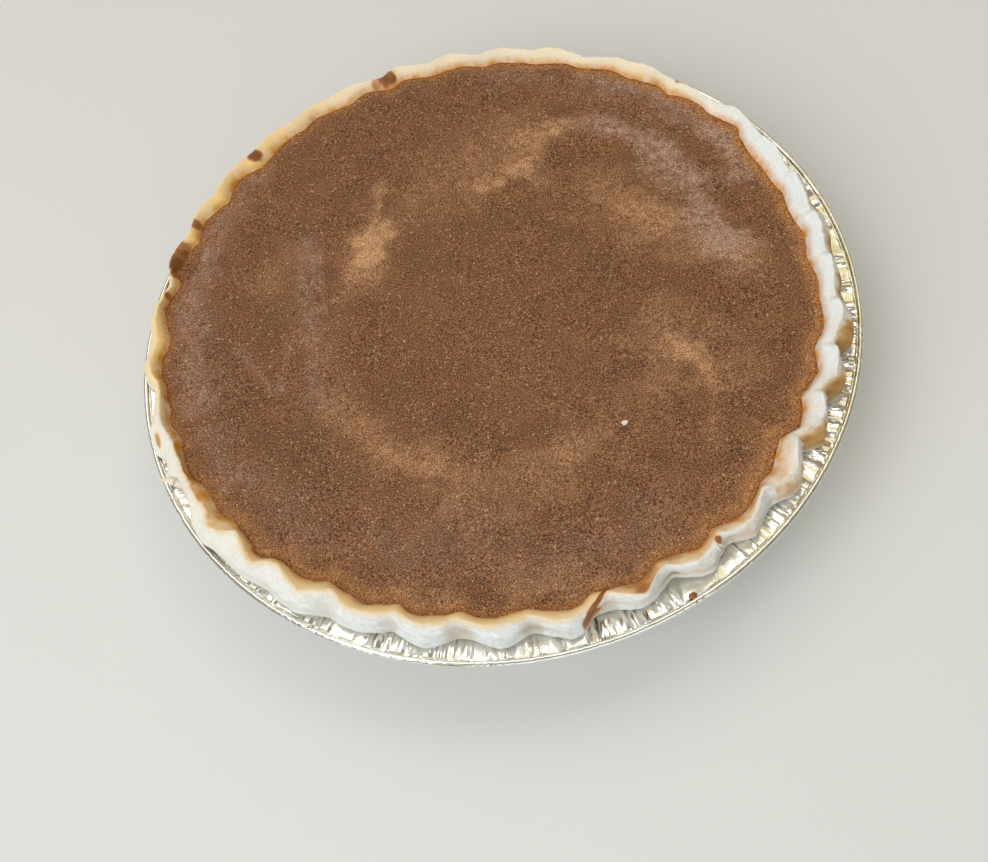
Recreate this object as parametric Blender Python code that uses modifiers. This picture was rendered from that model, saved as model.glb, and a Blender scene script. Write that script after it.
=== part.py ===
"""An egg pie in its foil tin, at real size: a crimped foil tin, a pastry case with a
fluted rim, and the baked custard that fills it. Metres, +Z up, the origin at the
centre of the tin's base, and the side shown in the photograph towards -Y."""

import math
import random

import bpy

MM = 0.001

# The tin, by its outside sizes.
TIN_RADIUS = 111.0 * MM
BASE_RADIUS = 84.2 * MM
MOUTH_RADIUS = 100.5 * MM
TIN_HEIGHT = 30.0 * MM
BEAD_RADIUS = 0.85 * MM
FLANGE_DROP = 1.0 * MM
FLANGE_TILT = 0.5 * MM
FOIL = 0.4 * MM
TIN_SPOKES = 144
PLEAT_DEPTH = 0.3 * MM
CREASE_HEIGHT = 0.18 * MM

# The pastry and the custard. Their inner edges lie round the middle of the pie, which
# was set down a little off the middle of the tin. The rim's outside lies round the tin.
PIE_SHIFT = (-1.45 * MM, 1.6 * MM)
GAP = 0.32 * MM
CUSTARD_GAP = 0.48 * MM
PASTRY_FLOOR = 3.0 * MM
FLUTES = 36
SPOKES_PER_FLUTE = 6
FILL_RADIUS = 99.8 * MM
FILL_LEVEL = 34.5 * MM
RIDGE_RADIUS = 103.6 * MM
RIDGE_HEIGHT = 38.3 * MM
RIM_RADIUS = 106.0 * MM
SHALLOW_FLUTE = 0.8 * MM
DEEP_FLUTE = 1.9 * MM
LEAN = 1.0 * MM

# A hand pinches the flutes, so their spacing drifts: each slow wave has its count of
# turns round the rim, its size in degrees and the direction, in degrees, of its peak.
FIRST_FLUTE = 27.5
FLUTE_DRIFT = ((1, 4.1, -92.0), (2, 0.6, -68.5), (3, 0.7, -43.0), (4, 0.45, 24.0))

# Where the flutes are deepest and lean out furthest, in degrees.
DEEP_SIDE = -50.0
DEEP_SPREAD = 85.0

# Where the custard's edge bays in or out of its circle: direction and spread in
# degrees, and how far. The rim is widest where the edge lies furthest in.
EDGE_BAYS = (
    (5, 13, -2.2 * MM),
    (34, 14, 1.1 * MM),
    (170, 17, 1.2 * MM),
    (236, 13, -1.2 * MM),
    (290, 26, 0.9 * MM),
)


def smooth_step(low, high, value):
    """0 below low, 1 above high, and an S-curve between."""
    share = min(max((value - low) / (high - low), 0.0), 1.0)
    return share * share * (3 - 2 * share)


def near(angle, middle, spread):
    """1 at the middle direction, falling off over the spread, both in degrees."""
    away = (math.degrees(angle) - middle + 180) % 360 - 180
    return math.exp(-((away / spread) ** 2))


def spacing_drift(angle):
    """How far, in degrees, the flutes near this angle have slid round the rim."""
    return sum(
        size * math.cos(math.radians(turns * (math.degrees(angle) - peak)))
        for turns, size, peak in FLUTE_DRIFT
    )


def flute_angle(turn):
    """The direction of the spoke at this number of flutes after the first one."""
    even = math.radians(FIRST_FLUTE + turn * 360 / FLUTES)
    angle = even
    for _ in range(12):
        angle = even + math.radians(spacing_drift(angle))
    return angle


def flute_wave(turn):
    """1 on the round of an outward bulge, down to -1 in the crease between two."""
    return 2 * math.sqrt(math.cos(math.pi * turn) ** 2 + 0.004) - 1.06


def slow_waves(seed, amount, waves):
    """A gentle unevenness round the rim, as a function of the angle."""
    draw = random.Random(seed)
    parts = [(turns, draw.uniform(0, 2 * math.pi)) for turns in range(2, 2 + waves)]
    size = amount / math.sqrt(waves)
    return lambda angle: sum(size * math.cos(n * angle + start) for n, start in parts)


ridge_unevenness = slow_waves(seed=4, amount=0.45 * MM, waves=8)
edge_unevenness = slow_waves(seed=9, amount=0.4 * MM, waves=9)
skin_unevenness = slow_waves(seed=2, amount=0.25 * MM, waves=4)


def clear_scene():
    for thing in list(bpy.data.objects):
        bpy.data.objects.remove(thing, do_unlink=True)


def pie_collection():
    collection = bpy.data.collections.new("egg_pie")
    bpy.context.scene.collection.children.link(collection)
    return collection


def finish(name, colour, roughness, metallic=0.0):
    material = bpy.data.materials.new(name)
    material.use_nodes = True
    shader = material.node_tree.nodes["Principled BSDF"]
    shader.inputs["Base Color"].default_value = (*colour, 1)
    shader.inputs["Roughness"].default_value = roughness
    shader.inputs["Metallic"].default_value = metallic
    return material


def turned(name, profile, steps, material, collection):
    """A closed solid turned about Z. The profile runs from its top middle point, out
    and down its outer side, to its bottom middle point."""
    mesh = bpy.data.meshes.new(name)
    points = [(radius, 0, height) for radius, height in profile]
    mesh.from_pydata(points, [(i, i + 1) for i in range(len(points) - 1)], [])
    mesh.materials.append(material)
    turned_object = bpy.data.objects.new(name, mesh)
    collection.objects.link(turned_object)

    screw = turned_object.modifiers.new("Turn", "SCREW")
    screw.steps = steps
    screw.render_steps = steps
    screw.use_merge_vertices = True
    screw.merge_threshold = 0.00005
    screw.use_smooth_shade = True
    bpy.context.view_layer.objects.active = turned_object
    bpy.ops.object.modifier_apply(modifier=screw.name)
    return turned_object


def shape_by(turned_object, move):
    """Moves each vertex, given as radius, angle and height, to the place move() gives."""
    for vertex in turned_object.data.vertices:
        radius = math.hypot(vertex.co.x, vertex.co.y)
        angle = math.atan2(vertex.co.y, vertex.co.x)
        vertex.co = move(radius, angle, vertex.co.z)
    turned_object.data.set_sharp_from_angle(angle=math.radians(50))


def build_tin(collection):
    flange_top = TIN_HEIGHT - FLANGE_DROP
    bead_centre = (TIN_RADIUS - BEAD_RADIUS, TIN_HEIGHT - BEAD_RADIUS)
    groove = bead_centre[0] - BEAD_RADIUS - 0.15 * MM
    mid_flange = (MOUTH_RADIUS + groove) / 2
    bead = [
        (
            bead_centre[0] + BEAD_RADIUS * math.cos(math.radians(turn)),
            bead_centre[1] + BEAD_RADIUS * math.sin(math.radians(turn)),
        )
        for turn in (150, 75, 0, -75)
    ]
    profile = [
        (0, FOIL),
        (BASE_RADIUS - 0.9 * MM, FOIL),
        (BASE_RADIUS + 0.8 * MM, 1.5 * MM),
        (MOUTH_RADIUS, flange_top - FLANGE_TILT),
        (mid_flange, flange_top - FLANGE_TILT / 2),
        (groove, flange_top),
        *bead,
        (groove, flange_top - FOIL),
        (mid_flange, flange_top - FLANGE_TILT / 2 - FOIL),
        (MOUTH_RADIUS + FOIL, flange_top - FLANGE_TILT - FOIL),
        (BASE_RADIUS + 1.2 * MM, 1.2 * MM),
        (BASE_RADIUS, 0),
        (0, 0),
    ]
    foil = finish("foil", (0.72, 0.69, 0.6), 0.28, 1.0)
    tin = turned("tin", profile, TIN_SPOKES, foil, collection)

    draw = random.Random(21)
    heights = [draw.choice((-1, -0.3, 0.2, 1)) for _ in range(TIN_SPOKES)]

    def crimp(radius, angle, height):
        """The side stands in narrow pleats, and the flange in uneven creases."""
        spoke = round(angle / (2 * math.pi) * TIN_SPOKES) % TIN_SPOKES
        side = smooth_step(BASE_RADIUS + 0.7 * MM, MOUTH_RADIUS, radius)
        side *= smooth_step(groove, MOUTH_RADIUS + FOIL, radius)
        flange = smooth_step(MOUTH_RADIUS + FOIL, mid_flange, radius)
        flange *= smooth_step(groove, mid_flange, radius)
        radius += PLEAT_DEPTH * side * (1 if spoke % 2 else -1)
        height += CREASE_HEIGHT * flange * heights[spoke]
        return radius * math.cos(angle), radius * math.sin(angle), height

    shape_by(tin, crimp)
    return tin


def above_tin(radius, height):
    """0 on the pastry and custard that the tin holds, and 1 on what stands free."""
    over_flange = smooth_step(MOUTH_RADIUS + 0.5 * MM, RIM_RADIUS - 3 * MM, radius)
    return max(over_flange, smooth_step(TIN_HEIGHT, TIN_HEIGHT + 3 * MM, height))


def rim_shape(radius, angle, height):
    """Bends a turned pastry or custard point to the hand-pinched rim.

    The pastry in the tin stays as turned. Above the flange it is pushed aside with the
    rest of the pie, and towards the outside it swings out and in with the flutes."""
    turn = (math.degrees(angle) - FIRST_FLUTE) * FLUTES / 360
    angle = flute_angle(turn)
    above = above_tin(radius, height)
    outward = smooth_step(FILL_RADIUS - 4 * MM, FILL_RADIUS + 2.2 * MM, radius)
    outside = smooth_step(RIDGE_RADIUS - MM, RIM_RADIUS - MM, radius)
    high = smooth_step(TIN_HEIGHT, RIDGE_HEIGHT - 2 * MM, height)
    deep = near(angle, DEEP_SIDE, DEEP_SPREAD)

    edge = smooth_step(FILL_RADIUS - 8 * MM, FILL_RADIUS - MM, radius) * (1 - outside)
    bay = sum(reach * near(angle, middle, spread) for middle, spread, reach in EDGE_BAYS)
    depth = SHALLOW_FLUTE + (DEEP_FLUTE - SHALLOW_FLUTE) * deep
    swing = outward * (depth * flute_wave(turn) + edge_unevenness(angle))
    radius += above * (edge * bay + swing + outside * high * LEAN * deep)
    height += high * outward * ridge_unevenness(angle)
    shift = above * (1 - outside)
    return (
        radius * math.cos(angle) + shift * PIE_SHIFT[0],
        radius * math.sin(angle) + shift * PIE_SHIFT[1],
        height,
    )


def pastry_inside():
    """The inner face of the pastry, from its floor up to the brim of the custard."""
    floor = FOIL + GAP + PASTRY_FLOOR
    return [
        (BASE_RADIUS - 4.5 * MM, floor),
        (FILL_RADIUS - 4.5 * MM, TIN_HEIGHT - 1.0 * MM),
        (FILL_RADIUS - 1.1 * MM, FILL_LEVEL - 1.5 * MM),
        (FILL_RADIUS + 0.2 * MM, FILL_LEVEL + 0.5 * MM),
    ]


def build_crust(collection):
    flange_clear = TIN_HEIGHT - FLANGE_DROP + CREASE_HEIGHT + GAP
    wall_clear = PLEAT_DEPTH + GAP
    underside = FOIL + GAP
    profile = [
        (0, pastry_inside()[0][1]),
        *pastry_inside(),
        (RIDGE_RADIUS - 2.0 * MM, RIDGE_HEIGHT - 1.2 * MM),
        (RIDGE_RADIUS - 0.7 * MM, RIDGE_HEIGHT),
        (RIDGE_RADIUS + 0.8 * MM, RIDGE_HEIGHT - 0.1 * MM),
        (RIM_RADIUS - 0.6 * MM, RIDGE_HEIGHT - 1.5 * MM),
        (RIM_RADIUS, RIDGE_HEIGHT - 3.9 * MM),
        (RIM_RADIUS - 0.3 * MM, TIN_HEIGHT + 1.6 * MM),
        (RIM_RADIUS - 1.2 * MM, flange_clear + 0.1 * MM),
        (RIM_RADIUS - 2.4 * MM, flange_clear),
        (MOUTH_RADIUS + 0.4 * MM, flange_clear),
        (MOUTH_RADIUS - wall_clear - 0.4 * MM, TIN_HEIGHT - 1.8 * MM),
        (BASE_RADIUS - wall_clear, underside + 0.6 * MM),
        (BASE_RADIUS - wall_clear - 0.8 * MM, underside),
        (0, underside),
    ]
    pastry = finish("pastry", (0.78, 0.68, 0.5), 0.75)
    steps = FLUTES * SPOKES_PER_FLUTE
    crust = turned("crust", profile, steps, pastry, collection)
    shape_by(crust, rim_shape)
    return crust


def build_filling(collection):
    """The custard: its edge follows the pastry a hair inside it, and its skin, set in
    the oven and sunk a little as it cooled, lies in slow waves."""
    inside = [(radius - CUSTARD_GAP, height) for radius, height in pastry_inside()]
    lower_edge = (inside[0][0], inside[0][1] + GAP)
    profile = [
        (0, FILL_LEVEL - 0.2 * MM),
        (42 * MM, FILL_LEVEL - 0.1 * MM),
        (80 * MM, FILL_LEVEL - 0.1 * MM),
        (FILL_RADIUS - 0.1 * MM - CUSTARD_GAP, FILL_LEVEL),
        inside[2],
        inside[1],
        lower_edge,
        (0, lower_edge[1]),
    ]
    custard = finish("custard", (0.24, 0.105, 0.05), 0.55)
    steps = FLUTES * SPOKES_PER_FLUTE
    filling = turned("filling", profile, steps, custard, collection)

    def settle(radius, angle, height):
        x, y, z = rim_shape(radius, angle, height)
        on_skin = smooth_step(FILL_LEVEL - MM, FILL_LEVEL - 0.3 * MM, height)
        away_from_edge = smooth_step(FILL_RADIUS, FILL_RADIUS - 20 * MM, radius)
        reach = min(radius / (60 * MM), 1)
        return x, y, z + on_skin * away_from_edge * reach * skin_unevenness(angle)

    shape_by(filling, settle)
    return filling


clear_scene()
egg_pie = pie_collection()
build_tin(egg_pie)
build_crust(egg_pie)
build_filling(egg_pie)
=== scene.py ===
# %% [markdown]
# # An egg pie in its foil tin
#
# A whole custard pie, baked in a throw-away foil tin. Three things carry its look: the
# creased foil, the rim that was pinched by hand, and the thin brown skin of the custard.
# Each is modelled from simple rings or a grid, shaped, and then given its own finish.

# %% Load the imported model
import itertools
import math
import random

import bpy
import numpy as np
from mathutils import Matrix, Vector, noise


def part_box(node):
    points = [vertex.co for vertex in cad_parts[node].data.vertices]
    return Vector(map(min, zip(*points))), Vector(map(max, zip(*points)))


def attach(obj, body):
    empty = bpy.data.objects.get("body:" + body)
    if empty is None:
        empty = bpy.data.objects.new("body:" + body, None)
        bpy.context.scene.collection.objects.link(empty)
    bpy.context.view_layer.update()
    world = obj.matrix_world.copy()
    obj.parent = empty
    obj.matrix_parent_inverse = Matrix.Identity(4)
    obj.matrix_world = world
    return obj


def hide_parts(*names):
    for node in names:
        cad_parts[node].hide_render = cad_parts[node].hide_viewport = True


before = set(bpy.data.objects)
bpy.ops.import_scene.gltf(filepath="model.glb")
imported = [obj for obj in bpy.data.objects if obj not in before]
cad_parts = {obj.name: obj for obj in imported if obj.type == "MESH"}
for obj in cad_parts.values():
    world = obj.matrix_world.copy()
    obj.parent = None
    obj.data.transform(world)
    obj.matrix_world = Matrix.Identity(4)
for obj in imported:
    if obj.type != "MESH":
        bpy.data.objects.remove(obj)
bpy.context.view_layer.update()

MM = 0.001
print("nodes:", sorted(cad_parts))

# %% [markdown]
# ## Helpers
#
# Blender's operators act on what is selected, so every piece starts from an empty
# selection. Where a shape follows a rule, such as the waves of the rim, it is easier to
# read all the points as one array, move them by a formula, and write them back.

# %% Helpers for points
def start_clean():
    if bpy.context.object and bpy.context.object.mode != "OBJECT":
        bpy.ops.object.mode_set(mode="OBJECT")
    bpy.ops.object.select_all(action="DESELECT")


def points_of(piece):
    flat = np.empty(len(piece.data.vertices) * 3)
    piece.data.vertices.foreach_get("co", flat)
    return flat.reshape(-1, 3)


def move_points(piece, points):
    piece.data.vertices.foreach_set("co", np.ascontiguousarray(points).ravel())
    piece.data.update()


def paint(piece, **fields):
    """Keeps a number of each name for every point of the mesh, for a material to read."""
    for name, values in fields.items():
        layer = piece.data.attributes.new(name, "FLOAT", "POINT")
        layer.data.foreach_set("value", np.clip(values, 0, 1).astype(np.float32))


def polar(points):
    return np.hypot(points[:, 0], points[:, 1]), np.arctan2(points[:, 1], points[:, 0])


def from_polar(radius, angle, height):
    return np.column_stack((radius * np.cos(angle), radius * np.sin(angle), height))


# %% Helpers for smooth changes
def smooth_step(low, high, value):
    share = np.clip((value - low) / (high - low), 0, 1)
    return share * share * (3 - 2 * share)


def bell(value):
    """1 where the value is 0, falling off smoothly on both sides."""
    return np.exp(-(value**2))


def near(angle, middle, spread):
    """1 at the middle direction, falling off over the spread, both in degrees."""
    away = (np.degrees(angle) - middle + 180) % 360 - 180
    return bell(away / spread)


def slow_waves(seed, amount, waves, first=2):
    """A gentle unevenness round the rim, as a function of the angle."""
    draw = random.Random(seed)
    parts = [(turns, draw.uniform(0, 2 * math.pi)) for turns in range(first, first + waves)]
    size = amount / math.sqrt(waves)
    return lambda angle: sum(size * np.cos(n * angle + start) for n, start in parts)


def lumps(points, size, seed=0.0, detail=3):
    """Soft random lumps of about this size at each point, from -1 to 1."""
    shift = Vector((seed, 3.1 * seed, 7.7 * seed))
    return np.array([noise.fractal(Vector(p) / size + shift, 0.8, 2.0, detail) for p in points])


def distance_to_line(points, path):
    """How far each point lies from a line through the places of the path, in plan."""
    nearest = np.full(len(points), np.inf)
    for start, end in itertools.pairwise(np.array(path, float)):
        along = np.clip((points[:, :2] - start) @ (end - start) / np.sum((end - start) ** 2), 0, 1)
        gap = np.linalg.norm(points[:, :2] - start - along[:, None] * (end - start), axis=1)
        nearest = np.minimum(nearest, gap)
    return nearest


# %% [markdown]
# ## Turning by hand
#
# A tin or a pie case is round, so its side view, the profile, says almost everything. One
# could spin the profile about the axis. Here a circle is extruded again and again, each
# new ring moved up or down and scaled to its radius, as one would draw up a bowl by hand,
# because the rings then come out in a known order, with clean quads between.

# %% Extrude a circle ring by ring
def add_ring(level, next_level, scale):
    """Extrudes the selected ring to the next level, and scales it about the axis there."""
    rise = {"value": (0, 0, next_level - level)}
    bpy.ops.mesh.extrude_edges_move(TRANSFORM_OT_translate=rise)
    bpy.ops.transform.resize(value=scale, center_override=(0, 0, next_level))


def close_end():
    """Fills the selected open ring, turns all faces outwards and ends the editing."""
    bpy.ops.mesh.edge_face_add()
    bpy.ops.mesh.select_all(action="SELECT")
    bpy.ops.mesh.normals_make_consistent(inside=False)
    bpy.ops.object.mode_set(mode="OBJECT")


def draw_up(name, spokes, profile):
    """A closed surface of rings that follow the profile, a list of radius and height."""
    start_clean()
    radius, height = profile[0]
    bpy.ops.mesh.primitive_circle_add(vertices=spokes, radius=radius, location=(0, 0, height))
    bpy.ops.object.transform_apply(location=True)
    piece = bpy.context.object
    piece.name = piece.data.name = name
    bpy.ops.object.mode_set(mode="EDIT")
    bpy.ops.mesh.select_all(action="SELECT")
    for (radius, height), (next_radius, next_height) in itertools.pairwise(profile):
        scale = next_radius / radius
        add_ring(height, next_height, (scale, scale, 1))
    bpy.ops.mesh.select_mode(type="EDGE")
    bpy.ops.mesh.select_all(action="DESELECT")
    bpy.ops.mesh.select_non_manifold()
    close_end()
    return piece


# %% [markdown]
# ## The measures of the pie
#
# The same sizes as the solid model: the tin stands on the floor at the middle of the
# frame, the pie sits a little aside in it, and its rim has 36 flutes. A hand spaces them
# unevenly, which a few slow waves of drift describe.

# %% Sizes of the tin and the pie
low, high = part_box("tin")
TIN_RADIUS = (high.x - low.x) / 2
TIN_HEIGHT = high.z
BASE_RADIUS = 84.2 * MM
MOUTH_RADIUS = 100.5 * MM
BEAD_RADIUS = 0.85 * MM
FLANGE_TOP = TIN_HEIGHT - 1.0 * MM
GROOVE_RADIUS = TIN_RADIUS - 2 * BEAD_RADIUS - 0.15 * MM

FILL_RADIUS = 99.8 * MM
FILL_LEVEL = 34.5 * MM
RIDGE_HEIGHT = 38.3 * MM
RIDGE_LIMIT = 38.9 * MM
RIM_LIMIT = 39.05 * MM
LIP_LEVEL = 31 * MM
LIP_LIMIT = 109.7 * MM
print(f"tin {2000 * TIN_RADIUS:.1f} mm across, {1000 * TIN_HEIGHT:.1f} mm high")

# %% Where the flutes are
FLUTES = 36
FIRST_FLUTE = 27.5
FLUTE_DRIFT = ((1, 4.1, -92.0), (2, 0.6, -68.5), (3, 0.7, -43.0), (4, 0.45, 24.0))


def turn_at(angle):
    """Counts the flutes: a whole number at each bulge, a half in each crease."""
    step = 0.02
    turns = np.arange(-1, FLUTES + 1, step)
    even = np.radians(FIRST_FLUTE + turns * 360 / FLUTES)
    uneven = even
    for _ in range(12):
        drift = sum(
            size * np.cos(np.radians(waves * (np.degrees(uneven) - peak)))
            for waves, size, peak in FLUTE_DRIFT
        )
        uneven = even + np.radians(drift)
    start = uneven[round(1 / step)]
    return np.interp((angle - start) % (2 * np.pi) + start, uneven, turns)


# %% [markdown]
# ## Lines measured round the rim
#
# No two flutes of a hand-made rim are alike, so no rule gives them all. The three lines
# that the eye follows are measured instead, as a direction in degrees and a distance from
# the middle of the tin in mm: where custard and pastry meet, the crest of the rim, and
# the lip that hangs over the foil.

# %% The edge of the custard
EDGE = {
    1: 96.4, 4: 95.7, 8: 97.2, 12: 96.5, 15: 97.3, 18: 97.3, 21: 97.6, 23: 98.9, 25: 101.2,
    27: 100.6, 29: 99.8, 31: 99.1, 33: 100.0, 36: 100.9, 38: 100.2, 41: 98.9, 43: 100.4,
    45: 101.1, 47: 100.1, 50: 100.1, 54: 101.0, 57: 100.4, 59: 99.4, 63: 100.7, 65: 100.6,
    68: 99.4, 71: 100.4, 76: 101.1, 79: 100.4, 84: 101.6, 87: 100.8, 89: 99.9, 95: 101.7,
    98: 100.1, 103: 102.5, 107: 101.1, 109: 101.5, 114: 102.9, 118: 101.2, 121: 102.0,
    125: 101.2, 129: 100.0, 131: 101.8, 134: 103.5, 136: 102.4, 139: 100.7, 141: 101.9,
    144: 103.3, 147: 102.6, 149: 101.4, 151: 102.4, 155: 103.4, 159: 101.2, 162: 102.8,
    164: 103.9, 166: 103.0, 171: 100.1, 173: 101.1, 175: 102.6, 178: 102.3, 180: 101.5,
    183: 101.2, 187: 101.0, 189: 101.4, 192: 99.4, 194: 100.5, 197: 101.4, 200: 101.2,
    204: 99.1, 208: 100.2, 211: 98.9, 214: 99.0, 216: 99.7, 218: 101.0, 220: 100.6,
    222: 98.7, 227: 99.1, 230: 98.6, 232: 96.9, 236: 98.4, 239: 99.1, 242: 98.3,
    244.5: 96.8, 246: 98.6, 248: 99.2, 250: 99.0, 254.5: 97.4, 257: 98.7, 260: 99.3,
    263: 98.2, 265: 97.7, 267: 98.9, 271: 100.2, 273: 99.6, 275: 97.8, 277: 98.1,
    280: 99.0, 283: 99.3, 286: 96.9, 288: 97.6, 290: 98.7, 292: 99.8, 295: 99.2,
    296: 98.0, 299: 99.8, 303: 100.9, 306: 99.0, 309: 98.7, 311: 98.2, 315.5: 95.9,
    319: 99.4, 322: 97.9, 324.5: 96.7, 328: 98.4, 330: 99.0, 332: 97.7, 334: 96.8,
    338: 98.7, 342: 98.1, 345: 97.5, 348: 98.1, 353: 96.4, 356: 97.1, 358: 97.6,
}
edge_unevenness = slow_waves(seed=9, amount=0.16 * MM, waves=40, first=50)


def read_line(angle, line):
    """The distance in each direction: half straight from point to point, half a smooth
    curve through the points, so that the corners stay a little sharp."""
    at = np.array(list(line), float)
    at = np.concatenate((at - 360, at, at + 360))
    value = np.tile(np.array(list(line.values())) * MM, 3)
    lean = np.gradient(value, at)
    degrees = np.degrees(angle) % 360
    k = np.searchsorted(at, degrees, side="right") - 1
    wide, rise = at[k + 1] - at[k], value[k + 1] - value[k]
    t = (degrees - at[k]) / wide
    curve = rise * t**2 * (3 - 2 * t) + wide * (lean[k] * t * (1 - t) ** 2 - lean[k + 1] * t**2 * (1 - t))
    return value[k] + (rise * t + curve) / 2


def fill_edge(angle):
    """How far the custard's edge lies from the middle of the tin, in this direction."""
    return read_line(angle, EDGE) + edge_unevenness(angle)


# %% The crest and the lip of the rim
CREST = {
    0: 102.3, 3: 101.7, 6: 102.6, 9: 103.1, 13: 102.6, 16: 103.7, 21: 103.4, 25: 104.7,
    28: 105.5, 32: 103.2, 39: 103.1, 42: 102.7, 44: 103.2, 48: 104.2, 51: 103.8, 53: 104.4,
    56: 103.2, 59: 102.4, 62: 103.9, 66: 105.2, 70: 103.5, 75: 104.7, 78: 104.1, 80: 102.8,
    84: 105.1, 86: 105.8, 90: 103.4, 93: 104.6, 96: 105.9, 99: 103.4, 105: 106.0,
    109: 105.9, 113: 105.9, 116: 105.4, 119: 104.7, 122: 105.6, 125: 105.5, 128: 104.4,
    131: 105.1, 135: 106.1, 139: 104.7, 144: 106.1, 148: 104.5, 153: 106.0, 156: 105.5,
    158: 103.6, 161: 102.6, 164: 105.2, 167: 105.2, 171: 103.6, 173: 103.9, 176: 105.6,
    178: 105.0, 180: 103.2, 183: 102.8, 186: 103.6, 188: 104.2, 191: 102.6, 197: 102.6,
    201: 102.9, 205: 103.3, 207: 102.8, 210: 105.0, 212: 103.7, 214: 100.8, 218: 103.1,
    220: 104.0, 222: 101.4, 224: 100.6, 226: 101.9, 229: 103.3, 232: 101.0, 234: 99.7,
    236: 101.7, 239: 102.3, 242: 101.8, 244.8: 100.3, 247: 102.0, 249: 102.6, 251: 102.3,
    254.3: 100.2, 256: 101.2, 258: 102.3, 260: 102.4, 262: 101.9, 265: 100.6, 267: 101.9,
    269: 103.4, 271: 103.6, 273: 102.6, 275: 101.2, 277: 100.2, 279: 102.0, 282: 104.4,
    285: 101.0, 287: 100.6, 288: 102.0, 291: 103.9, 294: 103.2, 296: 101.7, 298: 103.0,
    301: 104.2, 303: 103.2, 305: 101.6, 306: 101.2, 309: 103.6, 312: 104.6, 314: 102.4,
    316.5: 100.4, 319: 102.6, 322: 104.0, 324: 102.6, 326: 101.2, 329: 103.8, 331: 103.6,
    333: 102.9, 335: 101.8, 338: 102.8, 340: 103.8, 343: 102.5, 345: 101.9, 348: 102.2,
    351: 102.2, 353: 101.6, 356: 102.0, 358: 102.4,
}
LIP = {
    1: 105.9, 4: 104.4, 8: 106.0, 13: 104.8, 18: 106.0, 24: 106.6, 30: 107.0, 60: 106.5,
    120: 107.5, 155: 108.2, 160: 105.6, 163: 107.4, 167: 109.2, 169: 108.3, 171: 108.4,
    174: 109.5, 176: 109.5, 178: 108.6, 180: 105.6, 183: 106.1, 186: 108.3, 188: 109.6,
    191: 109.6, 193: 107.2, 195: 107.7, 197: 109.0, 199: 106.2, 203: 106.6, 206: 109.2,
    209: 109.4, 211: 109.0, 214: 108.1, 218: 108.3, 220: 107.6, 223: 107.0, 226: 107.8,
    229: 108.1, 231: 106.8, 234: 105.5, 237: 106.3, 239: 106.4, 242: 105.0, 244: 103.9,
    247: 106.1, 249: 107.0, 251: 106.0, 254: 103.8, 256: 103.8, 258: 105.4, 260: 106.7,
    262: 106.0, 265: 103.4, 268: 105.6, 270: 106.9, 272: 106.3, 274: 103.6, 276: 102.9,
    278: 103.2, 281: 105.6, 283: 105.3, 285: 103.6, 287: 102.4, 289: 104.2, 291: 106.1,
    293: 106.5, 295: 104.7, 297: 103.4, 299: 105.1, 301: 106.8, 304: 105.0, 306: 104.4,
    309: 106.9, 311: 107.6, 313: 106.4, 316: 103.0, 319: 107.3, 321: 106.6, 325: 103.6,
    328: 106.9, 330: 107.2, 334: 104.3, 337: 107.6, 339: 108.0, 342: 106.3, 345: 104.2,
    348: 105.4, 353: 104.1, 357: 105.9,
}

# %% [markdown]
# ## The camera
#
# The photograph looks down on the pie from one side, a little rolled. The tin's rim is a
# true circle of known size, so its ellipse in the picture gives the camera's place,
# angles and focal length.

# %% Place the camera
CAMERA_PLACE = (0, -0.1971, 0.3091)
CAMERA_TURN = (28.31, 7.815, -11.64)
FOCAL_LENGTH = 40.08

camera_data = bpy.data.cameras.new("camera")
camera_data.lens = FOCAL_LENGTH
camera_data.sensor_width = 36
camera_data.clip_start = 0.01
camera = bpy.data.objects.new("camera", camera_data)
camera.location = CAMERA_PLACE
camera.rotation_euler = [math.radians(turn) for turn in CAMERA_TURN]
bpy.context.scene.collection.objects.link(camera)
bpy.context.scene.camera = camera

# %% [markdown]
# ## The foil tin
#
# A pie tin is pressed from a flat disc of foil. The spare foil gathers in narrow pleats
# down the side and in sharp radial creases on the flange, and the cut edge is rolled into
# a bead. Creases could be a bump in the material, but foil is a mirror: each fold throws
# its own glint, so the folds are real, and fine enough to be sharp.

# %% Draw up the tin
TIN_SPOKES = 1800
FOIL = 0.15 * MM
BEAD_CENTRE = (TIN_RADIUS - BEAD_RADIUS, TIN_HEIGHT - BEAD_RADIUS)


def line(start, end, count):
    """Points on a straight line of the profile, both ends included."""
    return [tuple(point) for point in np.linspace(start, end, count)]


bead = [
    (
        BEAD_CENTRE[0] + BEAD_RADIUS * math.cos(math.radians(turn)),
        BEAD_CENTRE[1] + BEAD_RADIUS * math.sin(math.radians(turn)),
    )
    for turn in range(160, -150, -25)
]
inner_foot = (BASE_RADIUS - 0.4 * MM, 1.2 * MM)
inner_mouth = (MOUTH_RADIUS, FLANGE_TOP - 0.8 * MM)
outer_foot = (BASE_RADIUS + 0.3 * MM, 0.7 * MM)
outer_mouth = (MOUTH_RADIUS + 0.5 * MM, FLANGE_TOP - 0.8 * MM)
flange_in = (MOUTH_RADIUS + 0.9 * MM, FLANGE_TOP - 0.4 * MM)
flange_out = (GROOVE_RADIUS - 0.45 * MM, FLANGE_TOP)
groove = (GROOVE_RADIUS, FLANGE_TOP - 0.4 * MM)
below = np.array((0, -FOIL))
tin_profile = [
    (2 * MM, 0.3 * MM),
    (70 * MM, 0.3 * MM),
    (BASE_RADIUS - 1.6 * MM, 0.3 * MM),
    *line(inner_foot, inner_mouth, 5),
    *line(flange_in, flange_out, 9),
    groove,
    *bead,
    tuple(groove + 1.5 * below),
    *line(flange_out + below, flange_in + below, 4),
    *line(outer_mouth, outer_foot, 5),
    (BASE_RADIUS - 0.8 * MM, 0),
    (72 * MM, 0),
    (71.4 * MM, 0.2 * MM),
    (69.6 * MM, 0.2 * MM),
    (69 * MM, 0),
    (2 * MM, 0),
]
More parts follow.
